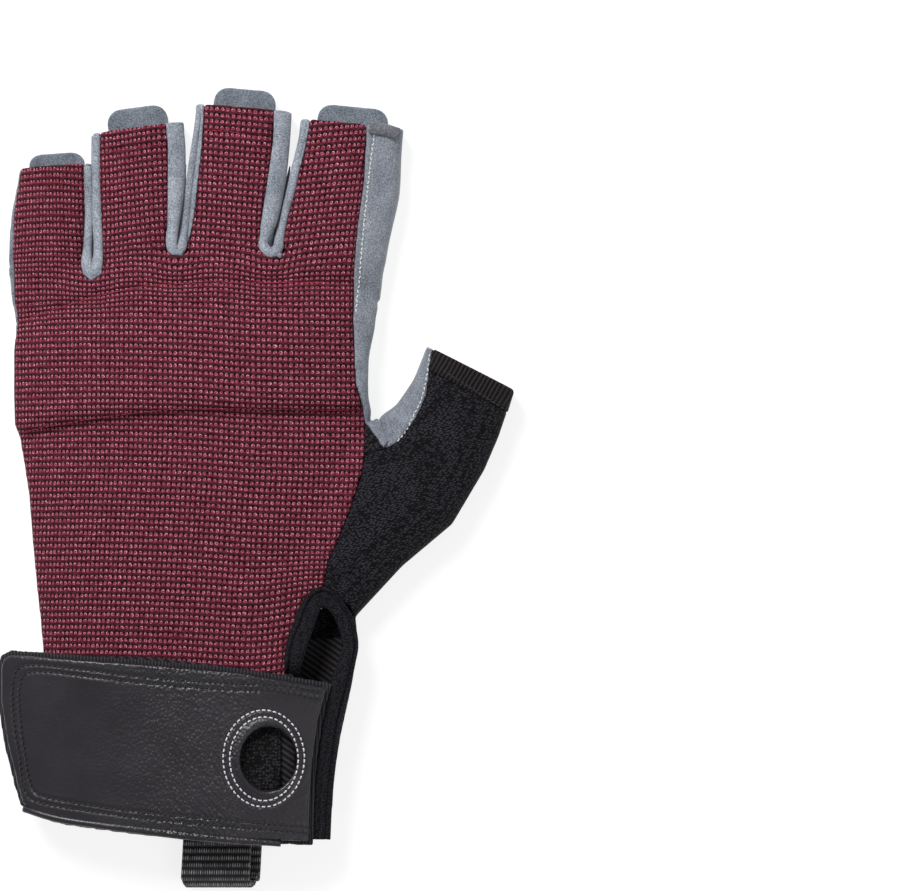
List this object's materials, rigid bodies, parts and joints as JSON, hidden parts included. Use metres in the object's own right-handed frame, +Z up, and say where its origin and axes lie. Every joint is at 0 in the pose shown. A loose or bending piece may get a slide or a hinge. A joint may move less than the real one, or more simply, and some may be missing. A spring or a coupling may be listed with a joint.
{
  "type": "half-finger climbing glove",
  "caption": "Half-finger glove for the left hand with knit back, suede palm, finger pull tabs, slit cuff, leather wrist strap and webbing pull loop.",
  "frame": {"origin": "on the floor under the flat middle of the palm, where the glove lies palm down", "axes": "+Y towards the fingertips, +X towards the thumb, +Z up through the back of the hand"},
  "size_m": [0.1289, 0.2, 0.019],
  "materials": {
    "knit": "ribbed stretch knit, maroon",
    "suede": "brushed synthetic suede, blue-gray",
    "tab_suede": "brushed synthetic suede, darker gray",
    "stretch_knit": "looped stretch knit, black",
    "twill_elastic": "diagonal twill elastic, black",
    "binding": "smooth stretch binding, black",
    "leather": "semi-gloss grained leather, black",
    "webbing": "ribbed webbing, black"
  },
  "bodies": {
    "root": {"knit_back": "knit", "suede_palm": "suede", "fourchette_pinky_ring": "suede", "fourchette_ring_middle": "suede", "fourchette_middle_index": "suede", "index_side_panel": "suede", "thumb_back": "stretch_knit", "thumb_hem": "stretch_knit", "cuff_band": "twill_elastic", "slit_binding_finger_side": "binding", "slit_binding_thumb_side": "binding", "wrist_strap": "leather", "strap_backing": "binding", "pull_strap": "webbing", "hang_loop_thumb_side": "webbing", "hang_loop_little_finger_side": "webbing", "pull_tab_pinky": "tab_suede", "pull_tab_ring": "tab_suede", "pull_tab_middle": "tab_suede", "pull_tab_index": "tab_suede"}
  },
  "joints": []
}
